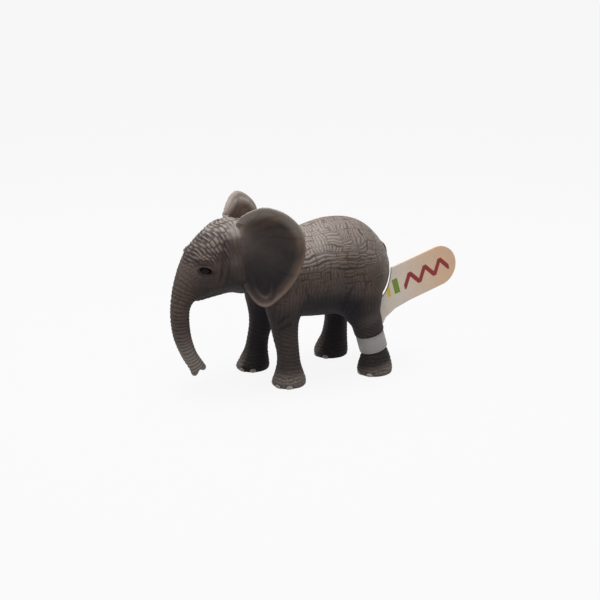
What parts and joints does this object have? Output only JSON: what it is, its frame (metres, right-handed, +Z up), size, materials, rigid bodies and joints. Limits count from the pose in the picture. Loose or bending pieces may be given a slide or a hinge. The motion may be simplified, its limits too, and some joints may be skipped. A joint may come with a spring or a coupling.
{
  "type": "toy elephant calf figure",
  "caption": "Soft vinyl African elephant calf in a walking pose, moulded in plug-jointed pieces, with a card tag that turns round one shin.",
  "frame": {"origin": "middle of the footprint of the bounding box, on the plane of the four soles", "axes": "+X from the head to the tail, +Y from the left flank to the right flank, +Z up"},
  "size_m": [0.0954, 0.0368, 0.0575],
  "materials": {
    "vinyl": "matt painted vinyl with a pale dry-brushed top",
    "eye": "gloss",
    "card": "smooth white card"
  },
  "bodies": {
    "figure": {"torso": "vinyl", "head": "vinyl", "left_ear": "vinyl", "right_ear": "vinyl", "front_left_leg": "vinyl", "front_right_leg": "vinyl", "hind_left_leg": "vinyl", "hind_right_leg": "vinyl", "tail": "vinyl", "left_eye": "eye", "right_eye": "eye"},
    "tag": {"tag": "card"}
  },
  "joints": [
    {"name": "tag_turn", "type": "hinge", "parent": "figure", "child": "tag", "pos_m": [0.01441, -0.01038, 0.0109], "axis": [0.2764, 0, -0.9611], "range_deg": [0, 75]}
  ]
}
